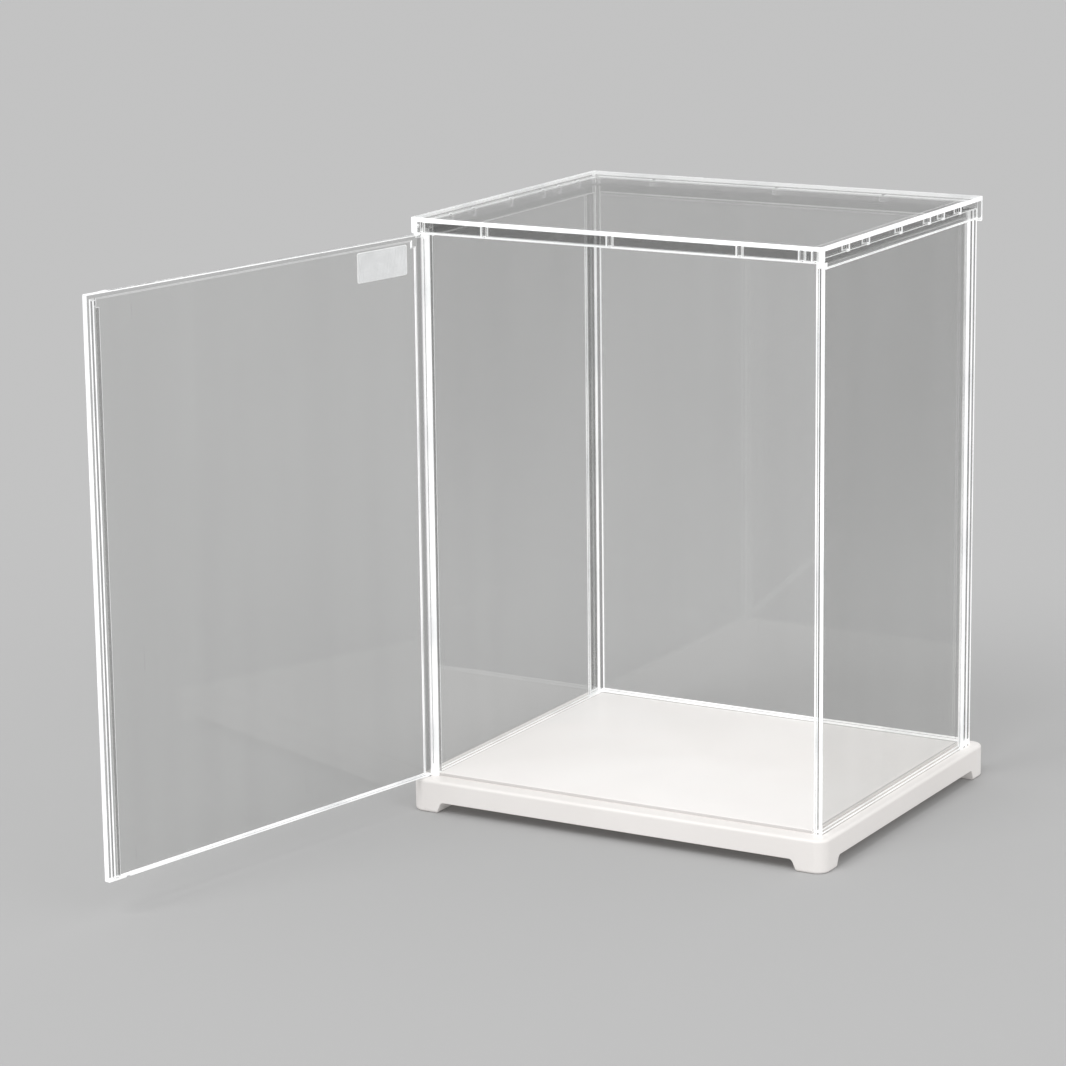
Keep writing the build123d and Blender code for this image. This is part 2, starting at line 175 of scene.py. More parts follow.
class Graph:
    """A node tree that is written as expressions."""

    def __init__(self, tree: bpy.types.NodeTree) -> None:
        """Empties the tree.

        Args:
            tree: A material's or a world's node tree.
        """
        self.tree = tree
        tree.nodes.clear()

    def node(
        self,
        kind: str,
        inputs: Optional[dict[Union[str, int], Operand]] = None,
        output: Union[str, int] = 0,
        **settings: Any,
    ) -> Signal:
        """Adds one node.

        Args:
            kind: The node's type.
            inputs: Numbers, colours or links for its sockets, by name or place.
            output: The output that is wanted.
            **settings: The node's own settings, which are set first.

        Returns:
            The wanted output.
        """
        made = self.tree.nodes.new(kind)
        for name, value in settings.items():
            setattr(made, name, value)
        for key, value in (inputs or {}).items():
            socket = self._find(made.inputs, key)
            if isinstance(value, Signal):
                self.tree.links.new(value.socket, socket)
            elif socket.type == "RGBA":
                socket.default_value = (*value, 1.0)
            else:
                socket.default_value = value
        return Signal(self, self._find(made.outputs, output))

    @staticmethod
    def _find(sockets: Any, key: Union[str, int]) -> bpy.types.NodeSocket:
        """Finds a socket by its place, or by its name among those in use.

        Args:
            sockets: The node's inputs or outputs.
            key: The place or the name.

        Returns:
            The socket.
        """
        if isinstance(key, int):
            return sockets[key]
        return next(socket for socket in sockets if socket.enabled and socket.name == key)

    def position(self) -> Signal:
        """The point on the object, in metres from the part's origin."""
        return self.node("ShaderNodeTexCoord", output="Object")

    def facing(self) -> Signal:
        """The face's outward direction in the object's own frame, seen from either side."""
        outward = 1.0 - self.node("ShaderNodeNewGeometry", output="Backfacing") * 2.0
        normal = self.node("ShaderNodeNewGeometry", output="True Normal") * outward
        settings = {"vector_type": "NORMAL", "convert_from": "WORLD", "convert_to": "OBJECT"}
        return self.node("ShaderNodeVectorTransform", {"Vector": normal}, **settings)

    def noise(self, where: Signal, scale: float, detail: float = 2.0, roughness: float = 0.5) -> Signal:
        """Soft random variation.

        Args:
            where: The point.
            scale: Blobs to a metre, about.
            detail: How many finer layers it has.
            roughness: How strong those are.

        Returns:
            A value round a half.
        """
        inputs = {"Vector": where, "Scale": scale, "Detail": detail, "Roughness": roughness}
        return self.node("ShaderNodeTexNoise", inputs, "Fac")

    def specks(self, where: Signal, scale: float, size: float) -> Signal:
        """Small scattered dots, such as dust.

        Args:
            where: The point.
            scale: Dots to a metre, about.
            size: How far a dot reaches, as a share of its cell.

        Returns:
            One in the middle of a dot, and nought between them.
        """
        cells = self.node("ShaderNodeTexVoronoi", {"Vector": where, "Scale": scale}, "Distance")
        return cells.step(size, size * DOT_CORE)

    def blend(self, factor: Signal, low: Operand, high: Operand) -> Signal:
        """Goes from one colour to another.

        Args:
            factor: How far along it is.
            low: The colour at nought.
            high: The colour at one.

        Returns:
            The colour.
        """
        inputs = {"Factor": factor, "A": low, "B": high}
        return self.node("ShaderNodeMix", inputs, "Result", data_type="RGBA")

    def bump(self, height: Signal, distance: float, strength: float = 1.0) -> Signal:
        """Relief from a height.

        Args:
            height: The height, from 0 to 1.
            distance: What 1 stands for, in metres.
            strength: How much of the relief is used.

        Returns:
            The bumped direction of the face.
        """
        return self.node("ShaderNodeBump", {"Height": height, "Distance": distance, "Strength": strength})

    def principled(self, **inputs: Operand) -> Signal:
        """A Principled shader, with underscores for the spaces in its sockets' names."""
        sockets = {name.replace("_", " "): value for name, value in inputs.items()}
        return self.node("ShaderNodeBsdfPrincipled", sockets)

    def mix(self, factor: Operand, low: Signal, high: Signal) -> Signal:
        """Mixes two shaders."""
        return self.node("ShaderNodeMixShader", {0: factor, 1: low, 2: high})

    def finish(self, surface: Signal) -> None:
        """Sends a shader to the tree's output."""
        world = surface.socket.node.bl_idname == "ShaderNodeBackground"
        kind = "ShaderNodeOutputWorld" if world else "ShaderNodeOutputMaterial"
        self.tree.links.new(surface.socket, self.tree.nodes.new(kind).inputs["Surface"])


@dataclass(frozen=True)
class Mottle:
    """Soft random patches on a surface, or fine lines where the pattern is stretched along one axis.

    Attributes:
        scale: Patches to a metre, about.
        between: The part of the pattern's range that is used.
        levels: What the two ends of that part give.
        detail: How many finer layers the pattern has.
        roughness: How strong those are.
        squeeze: How much the pattern is squeezed along each axis.
    """

    scale: float
    between: tuple[float, float] = (0.3, 0.7)
    levels: tuple[float, float] = (0.0, 1.0)
    detail: float = 2.0
    roughness: float = 0.5
    squeeze: Optional[tuple[float, float, float]] = None

    def plain(self, graph: Graph, where: Signal) -> Signal:
        """The pattern as it is.

        Args:
            graph: The material's graph.
            where: The point.

        Returns:
            A value round a half.
        """
        place = where if self.squeeze is None else where * self.squeeze
        return graph.noise(place, self.scale, self.detail, self.roughness)

    def on(self, graph: Graph, where: Signal) -> Signal:
        """The pattern between its levels.

        Args:
            graph: The material's graph.
            where: The point.

        Returns:
            A value between the two levels.
        """
        return self.plain(graph, where).step(*self.between, self.levels)


@dataclass(frozen=True)
class Marks:
    """Small marks that gather in patches: dots such as dust, or lines such as those of wiping.

    Attributes:
        patches: Where they gather, and how strong they are there.
        scale: Dots to a metre, about.
        size: How far a dot reaches, as a share of its cell.
        lines: The lines, in place of dots.
    """

    patches: Mottle
    scale: float = 0.0
    size: float = 0.0
    lines: Optional[Mottle] = None

    def on(self, graph: Graph, where: Signal) -> Signal:
        """Lays the marks on a surface.

        Args:
            graph: The material's graph.
            where: The point.

        Returns:
            How strong a mark is there.
        """
        if self.lines is None:
            marks = graph.specks(where, self.scale, self.size)
        else:
            marks = self.lines.on(graph, where)
        return marks * self.patches.on(graph, where)


@dataclass(frozen=True)
class Finish:
    """One finish, which makes its own material."""

    def shade(self, graph: Graph) -> Signal:
        """Builds the shader.

        Args:
            graph: The material's graph.

        Returns:
            The surface.
        """
        raise NotImplementedError

    def material(self, name: str) -> bpy.types.Material:
        """Makes the material.

        Args:
            name: The material's name.

        Returns:
            The material.
        """
        made = bpy.data.materials.new(name)
        made.use_nodes = True
        graph = Graph(made.node_tree)
        graph.finish(self.shade(graph))
        return made


@dataclass(frozen=True)
class LitEdge(Finish):
    """The bright cut edge of clear plastic, a painted highlight: a near-white colour and a glow in place
    of the light that runs along inside the sheet.

    Attributes:
        colour: Its tone where it is brightest.
        dimmed: Its tone where it is dimmest.
        glow: How strongly its painted glow shines.
        cover: How much it hides of what is behind it, where it is dim and where it is bright.
        faint_between: The heights between which level lines are fainter, if any are.
        faint_cover: How much of their cover those lines keep.
        level_from: How far up or down a rounded edge has to face, to count as a level line.
        unevenness: Where the painted highlight is bright and where it is dim.
        nick_scale: Nicks to a metre, about.
        nick_size: How far a nick reaches, as a share of its cell.
        nick_strength: How dark a nick is.
        sheen: How rough it is.
        relief: The ripples in it.
        relief_depth: How deep those are.
    """

    colour: tuple[float, float, float] = (0.95, 0.955, 0.955)
    dimmed: tuple[float, float, float] = (0.84, 0.85, 0.855)
    glow: float = 0.38
    cover: tuple[float, float] = (0.95, 1.0)
    faint_between: Optional[tuple[float, float]] = None
    faint_cover: float = 0.4
    level_from: float = 0.3
    unevenness: Mottle = Mottle(38.0, (0.34, 0.56), detail=3.0)
    nick_scale: float = 420.0
    nick_size: float = 0.15
    nick_strength: float = 0.5
    sheen: Mottle = Mottle(900.0, levels=(0.18, 0.34))
    relief: Mottle = Mottle(260.0)
    relief_depth: float = 0.12 * MM

    def shade(self, graph: Graph) -> Signal:
        """Builds the shader: a painted highlight, near white with a glow and a little uneven, with fainter
        level lines between two heights.

        Args:
            graph: The material's graph.

        Returns:
            The surface.
        """
        where = graph.position()
        # painted highlight: near-white colour, brighter and dimmer in patches, with dark nicks
        uneven = self.unevenness.on(graph, where)
        nicks = graph.specks(where, self.nick_scale, self.nick_size) * self.nick_strength
        colour = graph.blend(uneven * (1.0 - nicks), self.dimmed, self.colour)
        cover = uneven.step(0.0, 1.0, self.cover)
        if self.faint_between is not None:
            level = where.axis("Z")
            between = (level > self.faint_between[0]) * (level < self.faint_between[1])
            faint = between * (abs(graph.facing().axis("Z")) > self.level_from)
            cover = cover * faint.step(0.0, 1.0, (1.0, self.faint_cover))
        # the Emission below makes the painted highlight glow
        return graph.principled(
            Base_Color=colour,
            Roughness=self.sheen.on(graph, where),
            Alpha=cover,
            Emission_Color=colour,
            Emission_Strength=self.glow,
            Normal=graph.bump(self.relief.plain(graph, where), self.relief_depth),
        )


@dataclass(frozen=True)
class ClearSheet(Finish):
    """Clear moulded plastic: it lets light straight through, with a gloss, a faint grey painted reflection
    that is darker towards the bottom, and painted shade where it shows its thickness.

    Attributes:
        sheet_normal: The direction that the sheet faces.
        low_z: The height of its lower end.
        high_z: The height of its upper end.
        tint: What is left of light that goes through a face.
        veil_low: The share of the lower end that the painted reflection covers.
        veil_high: The share of the upper end that the painted reflection covers.
        reflection_dark: The painted reflection's colour at the lower end.
        reflection_pale: The painted reflection's colour at the upper end.
        thick_shade_share: The share of painted shade where the sheet shows its thickness.
        thick_shade_colour: The painted shade's colour there.
        lit_normal: The direction that the bright edge faces.
        lit_from: How far along that direction the bright edge starts.
        foot: The heights between which a painted highlight line runs along the foot. Equal heights give no
            line.
        gloss: How much it mirrors, seen straight on and seen along its face.
        gloss_power: How late the mirroring sets in on the way from one to the other.
        mirror_roughness: How blurred its mirroring is.
        reflection_roughness: How matt the painted reflection is.
        reflection_shine: How much the painted reflection shines.
        clouds: Broad faint shifts of the painted reflection.
        flow: Upright streaks from the moulding.
        dust: Specks of dust in patches.
        wiped: Upright wiping marks in patches.
        edge: The finish of its painted highlight on the bright edge.
    """

    sheet_normal: tuple[float, float, float]
    low_z: float
    high_z: float
    tint: tuple[float, float, float] = (0.972, 0.973, 0.971)
    veil_low: float = 0.10
    veil_high: float = 0.18
    reflection_dark: tuple[float, float, float] = (0.15, 0.15, 0.145)
    reflection_pale: tuple[float, float, float] = (0.30, 0.30, 0.295)
    thick_shade_share: float = 0.34
    thick_shade_colour: tuple[float, float, float] = (0.10, 0.10, 0.10)
    lit_normal: tuple[float, float, float] = FORWARD
    lit_from: float = 0.0
    foot: tuple[float, float] = (GROUND_Z, GROUND_Z)
    gloss: tuple[float, float] = (0.04, 0.75)
    gloss_power: float = 5.0
    mirror_roughness: float = 0.035
    reflection_roughness: float = 0.4
    reflection_shine: float = 0.2
    clouds: Mottle = Mottle(7.0, levels=(-0.010, 0.010))
    flow: Mottle = Mottle(60.0, (0.4, 0.7), (0.0, 0.014), squeeze=(1.0, 1.0, 0.05))
    dust: Marks = Marks(Mottle(16.0, (0.45, 0.68), (0.0, 0.16)), 380.0, 0.12)
    wiped: Marks = Marks(
        Mottle(22.0, (0.5, 0.7), (0.0, 0.10)),
        lines=Mottle(620.0, (0.66, 0.72), detail=4.0, roughness=0.65, squeeze=(1.0, 1.0, 0.06)),
    )
    edge: LitEdge = LitEdge()

    def veil(self, graph: Graph, where: Signal, height: Signal) -> Signal:
        """How much the painted reflection, with the dust and marks, covers what is behind the sheet.

        Args:
            graph: The material's graph.
            where: The point.
            height: How far up the sheet the point is, from 0 to 1.

        Returns:
            The share that the painted reflection covers.
        """
        # painted reflection: its share grows from the bottom to the top
        veil = height.step(0.0, 1.0, (self.veil_low, self.veil_high))
        for pattern in (self.clouds, self.flow, self.dust, self.wiped):
            veil = veil + pattern.on(graph, where)
        return veil

    def lit(self, facing: Signal, where: Signal, thick: Signal) -> Operand:
        """Where the sheet has its painted highlight: its front edge over the whole width, and a line along
        its foot.

        Args:
            facing: The face's direction.
            where: The point.
            thick: One where the sheet shows its thickness. Not used here.

        Returns:
            One on such a face, and nought elsewhere.
        """
        front = (facing.dot(self.lit_normal) > ALIKE) * (where.dot(self.lit_normal) > self.lit_from)
        level = where.axis("Z")
        return front.largest((level > self.foot[0]) * (level < self.foot[1]))

    def thick_shade(self, where: Signal) -> Operand:
        """How much painted shade the sheet has where it shows its thickness."""
        return self.thick_shade_share

    def face_reflection(self, where: Signal) -> Operand:
        """How much of the painted reflection a place on the sheet's face has."""
        return 1.0

    def shade(self, graph: Graph) -> Signal:
        """Builds the shader.

        Args:
            graph: The material's graph.

        Returns:
            The surface.
        """
        where = graph.position()
        height = where.axis("Z").step(self.low_z, self.high_z, blend=Blend.STRAIGHT)
        grazing = graph.node("ShaderNodeLayerWeight", output="Facing")
        gloss = (grazing**self.gloss_power).step(0.0, 1.0, self.gloss, Blend.STRAIGHT)
        mirror = graph.principled(Base_Color=WHITE_LIGHT, Metallic=1.0, Roughness=self.mirror_roughness)
        body = graph.mix(gloss, graph.node("ShaderNodeBsdfTransparent", {"Color": self.tint}), mirror)
        facing = graph.facing()
        thick = abs(facing.dot(self.sheet_normal)) < HALFWAY
        # painted reflection, darker towards the bottom and paler towards the top; painted shade where the
        # sheet shows its thickness
        colour = graph.blend(thick, graph.blend(height, self.reflection_dark, self.reflection_pale), self.thick_shade_colour)
        looks = {"Roughness": self.reflection_roughness, "Specular_IOR_Level": self.reflection_shine}
        veil = graph.principled(Base_Color=colour, **looks)
        # the faces take the painted reflection, and the sides where the sheet shows its thickness take the
        # painted shade
        face = self.veil(graph, where, height) * self.face_reflection(where) * (1.0 - thick)
        share = face + (thick * self.thick_shade(where))
        sheet = graph.mix(share, body, veil)
        # painted highlight on the front edge and along the foot
        return graph.mix(self.lit(facing, where, thick), sheet, self.edge.shade(graph))


@dataclass(frozen=True)
class ClearBack(ClearSheet):
    """The clear back panel, whose channels have painted highlights in three upright bands along their
    outer sides.

    Attributes:
        outer_x: How far out the channels' outer sides are.
        back_y: Where the panel's rear face is.
        rear_band: How far in front of the rear face the first band starts and ends.
        middle_band: The same for the second band.
        front_band: The same for the third band.
        foot_lines: The heights of the two painted highlight lines behind the display floor.
        inner_from: How far in front of the rear face they start, so that only the inner face has them.
    """

    outer_x: float = 0.1
    back_y: float = 0.1
    rear_band: tuple[float, float] = (0.0, 1.8 * MM)
    middle_band: tuple[float, float] = (3.7 * MM, 5.7 * MM)
    front_band: tuple[float, float] = (7.6 * MM, 10.6 * MM)
    foot_lines: tuple[tuple[float, float], ...] = ((-0.6 * MM, 0.35 * MM), (0.6 * MM, 1.45 * MM))
    inner_from: float = 1.1 * MM

    def lit(self, facing: Signal, where: Signal, thick: Signal) -> Operand:
        """Where the panel has its painted highlight: the channels' front ends, the bands, and two lines
        behind the floor.

        Args:
            facing: The face's direction.
            where: The point.
            thick: One where the sheet shows its thickness.

        Returns:
            One on such a face, and nought elsewhere.
        """
        shine = super().lit(facing, where, thick)
        depth = self.back_y - where.axis("Y")
        side = abs(where.axis("X")) > self.outer_x - SLACK
        # painted highlight bands along the channels' outer sides
        for near, far in (self.rear_band, self.middle_band, self.front_band):
            shine = shine.largest((depth > near) * (depth < far) * side)
        # two painted highlight lines behind the display floor
        for low, high in self.foot_lines:
            level = where.axis("Z")
            shine = shine.largest((level > low) * (level < high) * (depth > self.inner_from))
        return shine


@dataclass(frozen=True)
class ClearDoor(ClearSheet):
    """The clear door, with painted highlights along its top and bottom as well as its free edge.

    Attributes:
        bottom_z: The height of its bottom edge.
        top_z: The height of its top edge.
        top_band: How tall the painted highlight strip along its top is.
        bottom_band: How tall the painted highlight strip along its bottom is.
    """

    bottom_z: float = 0.0
    top_z: float = 0.25
    top_band: float = 0.25 * MM
    bottom_band: float = 0.9 * MM

    def lit(self, facing: Signal, where: Signal, thick: Signal) -> Operand:
        """Where the door has its painted highlight: its free edge, and the strips along its top and
        bottom.

        Args:
            facing: The face's direction.
            where: The point.
            thick: One where the door shows its thickness.

        Returns:
            One on such a face, and nought elsewhere.
        """
        level = where.axis("Z")
        # painted highlight strips along the door's bottom and top
        bottom = (level > self.bottom_z - SLACK) * (level < self.bottom_z + self.bottom_band)
        top = (level > self.top_z - self.top_band) * (level < self.top_z + SLACK)
        return super().lit(facing, where, thick).largest(bottom).largest(top)


@dataclass(frozen=True)
class ClearLid(ClearSheet):
    """The clear lid: a painted highlight rim all round its sheet, and painted shade that is stronger on
    the inner wall than on the clearer skirt in front of it.

    Attributes:
        half_width: Half its size along X.
        half_depth: Half its size along Y.
        sheet: How thick its sheet is.
        skirt: How far in from the sides its skirt reaches, with a little slack.
        corner: How far from a corner the skirt's upright edges have the painted highlight.
        hinge_corner: How wide the painted highlight on the front face of the hinge's corner is.
        rim: How far in from the sides the sheet has no painted reflection.
        wall: How far in the painted glint along the top of a side's inner wall starts and ends.
        wall_glint: How bright that painted glint is.
        skirt_shade_share: The share of painted shade on the skirt.
    """

    half_width: float = 0.1
    half_depth: float = 0.08
    sheet: float = 2.0 * MM
    skirt: float = 1.9 * MM
    corner: float = 1.1 * MM
    hinge_corner: float = 3.6 * MM
    rim: float = 3.0 * MM
    wall: tuple[float, float] = (3.3 * MM, 3.8 * MM)
    wall_glint: float = 0.45
    skirt_shade_share: float = 0.10

    def inside(self, where: Signal, margin: float) -> Signal:
        """One where a point is further in than a margin from the lid's four sides."""
        within = abs(where.axis("X")) < self.half_width - margin
        return within * (abs(where.axis("Y")) < self.half_depth - margin)

    def lit(self, facing: Signal, where: Signal, thick: Signal) -> Operand:
        """Where the lid has its painted highlight: the sheet's sides, the skirt's corners, and the tops of
        the side walls.

        Args:
            facing: The face's direction.
            where: The point.
            thick: One where the lid shows its thickness.

        Returns:
            One on such a face, and nought elsewhere.
        """
        # painted highlight on the sheet's sides, the skirt's front corners and its corner edges
        band = (where.axis("Z") > self.high_z - self.sheet) * thick
        column = (where.axis("X") > self.half_width - self.skirt).largest(
            where.axis("X") < self.hinge_corner - self.half_width
        )
        front = column * (facing.dot(FORWARD) > ALIKE) * (where.axis("Y") < 0.0)
        across = abs(where.axis("X"))
        ends = (across > self.half_width - self.corner) * thick
        ends = ends * (abs(where.axis("Y")) > self.half_depth - self.corner)
        # painted glint along the top of each side's inner wall
        wall = (across > self.half_width - self.wall[1]) * (across < self.half_width - self.wall[0])
        glint = wall * (where.axis("Z") > self.high_z - SLACK) * self.wall_glint
        return band.largest(front).largest(ends).largest(glint)

    def thick_shade(self, where: Signal) -> Operand:
        """The walls inside the skirt get more painted shade than the skirt."""
        # painted shade: a small share on the skirt, a larger one on the walls inside it
        shade_shares = (self.skirt_shade_share, self.thick_shade_share)
        return self.inside(where, self.skirt).step(0.0, 1.0, shade_shares, Blend.STRAIGHT)

    def face_reflection(self, where: Signal) -> Operand:
        """The rim of the sheet has no painted reflection, so that its far edges stay bright."""
        return self.inside(where, self.rim)


@dataclass(frozen=True)
class WhitePlastic(Finish):
    """Satin white moulded plastic, which can have painted shade on its sides, more on its front, and along
    the top's border.

    Attributes:
        colour: Its paler tone.
        shade_colour: Its darker tone.
        shaded_side_tone: The share of the tone that upright faces keep under painted shade.
        shaded_front_tone: The share of that which faces to the front keep, under more painted shade.
        shaded_border_from: How far out along X and back along Y the painted shade along the top's border
            starts, if it has one.
        shaded_border_tone: The share of the tone that the painted shade along the border leaves.
        roughness: How rough it is, at its smoothest and at its roughest.
        coat: How strong its clear gloss is.
        coat_roughness: How blurred that gloss is.
        glow: How strongly its painted glow shines, which lifts its shade in place of the light that
            scatters inside it.
        broad: Where it is paler and where it is darker.
        sheen: Where it is smoother and where it is rougher.
        dust: Specks of dust in patches.
        dust_colour: The dust's colour.
        rubbed: Faint rubbing marks in patches, which are rougher.
        grain: The fine moulded grain.
        grain_depth: How deep that is.
        grain_strength: How much of it is used.
    """

    colour: tuple[float, float, float] = (0.87, 0.843, 0.822)
    shade_colour: tuple[float, float, float] = (0.82, 0.79, 0.767)
    shaded_side_tone: float = 1.0
    shaded_front_tone: float = 1.0
    shaded_border_from: Optional[tuple[float, float]] = None
    shaded_border_tone: float = 0.60
    roughness: tuple[float, float] = (0.30, 0.42)
    coat: float = 0.12
    coat_roughness: float = 0.25
    glow: float = 0.10
    broad: Mottle = Mottle(9.0, detail=3.0)
    sheen: Mottle = Mottle(30.0)
    dust: Marks = Marks(Mottle(19.0, (0.5, 0.66), (0.0, 0.35)), 170.0, 0.07)
    dust_colour: tuple[float, float, float] = (0.45, 0.44, 0.42)
    rubbed: Marks = Marks(
        Mottle(15.0, (0.48, 0.7), (0.0, 0.12)),
        lines=Mottle(520.0, (0.66, 0.72), detail=4.0, roughness=0.65, squeeze=(0.05, 1.0, 1.0)),
    )
    grain: Mottle = Mottle(2600.0, roughness=0.6)
    grain_depth: float = 0.02 * MM
    grain_strength: float = 0.6

    def painted_shade(self, graph: Graph, where: Signal) -> Operand:
        """How much of its tone a place keeps under painted shade: less on upright faces, less again on
        faces to the front, and less along the top's borders.

        Args:
            graph: The material's graph.
            where: The point.

        Returns:
            The share that is kept.
        """
        facing = graph.facing()
        upright = abs(facing.axis("Z")) < HALFWAY
        # painted shade: upright faces darker, and faces to the front darker still
        kept = upright.step(0.0, 1.0, (1.0, self.shaded_side_tone), Blend.STRAIGHT)
        front = facing.dot(FORWARD) > HALFWAY
        kept = kept * front.step(0.0, 1.0, (1.0, self.shaded_front_tone), Blend.STRAIGHT)
        if self.shaded_border_from is not None:
            # painted shade along the top's left, right and back borders
            inner = (abs(where.axis("X")) < self.shaded_border_from[0]) * (where.axis("Y") < self.shaded_border_from[1])
            kept = kept * inner.largest(upright).step(0.0, 1.0, (self.shaded_border_tone, 1.0), Blend.STRAIGHT)
        return kept

    def shade(self, graph: Graph) -> Signal:
        """Builds the shader: a fine moulded grain, broad faint shifts of tone, a few handling marks,
        painted shade on its sides and border, and a painted glow.

        Args:
            graph: The material's graph.

        Returns:
            The surface.
        """
        where = graph.position()
        tone = graph.blend(self.broad.on(graph, where), self.shade_colour, self.colour)
        # painted shade on the sides, the front and the top's border
        tone = tone * self.painted_shade(graph, where)
        sheen = self.sheen.plain(graph, where).step(*self.sheen.between, self.roughness)
        # the Emission below is a painted glow that lifts the shade
        return graph.principled(
            Base_Color=graph.blend(self.dust.on(graph, where), tone, self.dust_colour),
            Roughness=sheen + self.rubbed.on(graph, where),
            Coat_Weight=self.coat,
            Coat_Roughness=self.coat_roughness,
            Emission_Color=tone,
            Emission_Strength=self.glow,
            Normal=graph.bump(self.grain.plain(graph, where), self.grain_depth, self.grain_strength),
        )


@dataclass(frozen=True)
class FrostedPlate(Finish):
    """Frosted plastic that is half clear, with a fine etched grain and a painted glow in place of the
    light that scatters in it.

    Attributes:
        colour: Its own colour.
        dull: The darker tone of its painted glow.
        pale: The paler tone of its painted glow.
        cover: How much it hides of what is behind it, at least and at most.
        glow: How strong the painted glow is.
        grain: The etched grain.
        grain_depth: How deep that is.
        roughness: How rough it is, at its smoothest and at its roughest.
        clouds: Where the painted glow is paler.
    """

    colour: tuple[float, float, float] = (0.28, 0.285, 0.29)
    dull: tuple[float, float, float] = (0.78, 0.785, 0.79)
    pale: tuple[float, float, float] = (0.86, 0.865, 0.87)
    cover: tuple[float, float] = (0.76, 0.90)
    glow: float = 0.75
    grain: Mottle = Mottle(3400.0, detail=3.0, roughness=0.7)
    grain_depth: float = 0.05 * MM
    roughness: tuple[float, float] = (0.55, 0.75)
    clouds: Mottle = Mottle(160.0, (0.35, 0.65))

    def shade(self, graph: Graph) -> Signal:
        """Builds the shader.

        Args:
            graph: The material's graph.

        Returns:
            The surface.
        """
        where = graph.position()
        grain = self.grain.plain(graph, where)
        # the Emission below is a painted glow, paler in patches
        return graph.principled(
            Base_Color=self.colour,
            Roughness=grain.step(*self.grain.between, self.roughness),
            Alpha=grain.step(*self.grain.between, self.cover),
            Emission_Color=graph.blend(self.clouds.on(graph, where), self.dull, self.pale),
            Emission_Strength=self.glow,
            Normal=graph.bump(grain, self.grain_depth),
        )


@dataclass(frozen=True)
class StudioFloor(Finish):
    """Plain pale floor, which shows only from above."""

    colour: tuple[float, float, float] = (0.47, 0.47, 0.47)
    roughness: float = 0.95
    shine: float = 0.1

    def shade(self, graph: Graph) -> Signal:
        """Builds the shader.

        Args:
            graph: The material's graph.

        Returns:
            The surface.
        """
        looks = {"Roughness": self.roughness, "Specular_IOR_Level": self.shine}
        matt = graph.principled(Base_Color=self.colour, **looks)
        clear = graph.node("ShaderNodeBsdfTransparent")
        return graph.mix(graph.node("ShaderNodeNewGeometry", output="Backfacing"), matt, clear)


@dataclass
class SubAssembly:
    """Some of the CAD's solids, which get softened edges and their finishes.

    Attributes:
        edge_width: How wide the softened edges are.
        sharp_angle: The angle from which an edge is softened.
        flat_angle: The angle up to which neighbouring faces count as one flat face.
        weld: How close two corners have to be to count as one.
        segments: How many faces make up a softened edge.
    """

    edge_width: float = 0.5 * MM
    sharp_angle: float = math.radians(35.0)
    flat_angle: float = math.radians(0.5)
    weld: float = 0.001 * MM
    segments: int = 2

    def soften(self, piece: bpy.types.Object, width: float, edge_slot: int = 0) -> None:
        """Rounds a solid's sharp edges a little, as a mould does, without changing its mesh.

        Args:
            piece: The CAD solid.
            width: How wide the rounding is, in metres.
            edge_slot: The material slot that the rounded edges take.
        """
        weld = piece.modifiers.new("join_corners", "WELD")
        weld.merge_threshold = self.weld
        flat = piece.modifiers.new("join_flats", "DECIMATE")
        flat.decimate_type = "DISSOLVE"
        flat.angle_limit = self.flat_angle
        bevel = piece.modifiers.new("soft_edges", "BEVEL")
        bevel.limit_method = "ANGLE"
        bevel.angle_limit = self.sharp_angle
        bevel.width = width
        bevel.segments = self.segments
        bevel.use_clamp_overlap = False
        bevel.material = edge_slot
        smooth = piece.modifiers.new("even_shading", "WEIGHTED_NORMAL")
        smooth.keep_sharp = False

    def dress(
        self, node: str, slot: Slot, *finishes: Finish, width: Optional[float] = None
    ) -> bpy.types.Object:
        """Gives a solid its finishes in place of the plain ones.

        Args:
            node: The CAD node's name.
            slot: The record's material slot.
            *finishes: The main finish, and the one for its edges.
            width: How wide its edges' rounding is, where it isn't the usual one.

        Returns:
            The solid.
        """
        piece = frame["nodes"][node]
        piece.data.materials.clear()
        for number, finish in enumerate(finishes):
            piece.data.materials.append(finish.material(f"{node}_{'edge' if number else 'face'}"))
        self.soften(piece, width or self.edge_width, len(finishes) - 1)
        LOG.info("%s: %s, %d finishes", node, slot.value, len(finishes))
        return piece

    def sheet(self, node: str, kind: type[ClearSheet] = ClearSheet, **values: Any) -> ClearSheet:
        """Works out a clear sheet's finish from where the sheet stands.

        Args:
            node: The CAD node's name.
            kind: The clear finish.
            **values: What differs from the plain one.

        Returns:
            The finish.
        """
        low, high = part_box(node)
        mesh = frame["nodes"][node].data
        largest = max(mesh.polygons, key=lambda face: face.area)
        if "lit_normal" in values:
            reach = max(vertex.co.dot(Vector(values["lit_normal"])) for vertex in mesh.vertices)
            values["lit_from"] = reach - values.pop("lit_depth", self.edge_width)
        return kind(tuple(largest.normal), low.z, high.z, **values)


